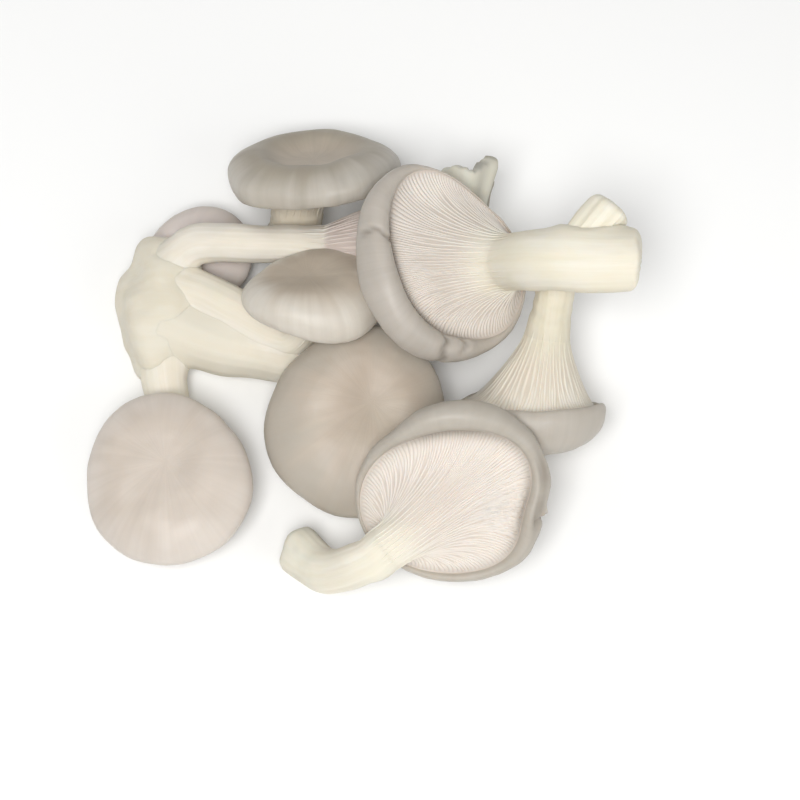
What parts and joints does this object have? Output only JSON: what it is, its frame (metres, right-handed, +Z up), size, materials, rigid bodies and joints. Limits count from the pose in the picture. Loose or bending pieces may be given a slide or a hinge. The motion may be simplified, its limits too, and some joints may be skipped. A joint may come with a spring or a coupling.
{
  "type": "oyster mushroom cluster",
  "caption": "Heap of fresh grey oyster mushrooms: a bunch grown from a shared root, with loose picked ones lying on and round it, several of them gills up.",
  "frame": {"origin": "middle of the heap's bounding box, on the surface that the heap lies on", "axes": "+Z up, +X to the right and +Y away as the heap is seen in the picture"},
  "size_m": [0.1789, 0.1696, 0.0755],
  "materials": {
    "bunch_flesh": "satin mushroom skin, beige caps and cream stems",
    "leaning_flesh": "satin mushroom skin, grey-brown cap",
    "cupped_flesh": "matte pale gills, grey-beige rolled rim, cream stem",
    "front_flesh": "matte pale gills, grey-beige rolled rim, cream stem",
    "upturned_flesh": "matte cream gills and stem, grey-beige cap",
    "torn_flesh": "matte grey-green flesh, torn stem end"
  },
  "bodies": {
    "root": {"grown_bunch": "bunch_flesh", "leaning_mushroom": "leaning_flesh", "cupped_mushroom": "cupped_flesh", "front_mushroom": "front_flesh", "upturned_mushroom": "upturned_flesh", "torn_mushroom": "torn_flesh"}
  },
  "joints": []
}
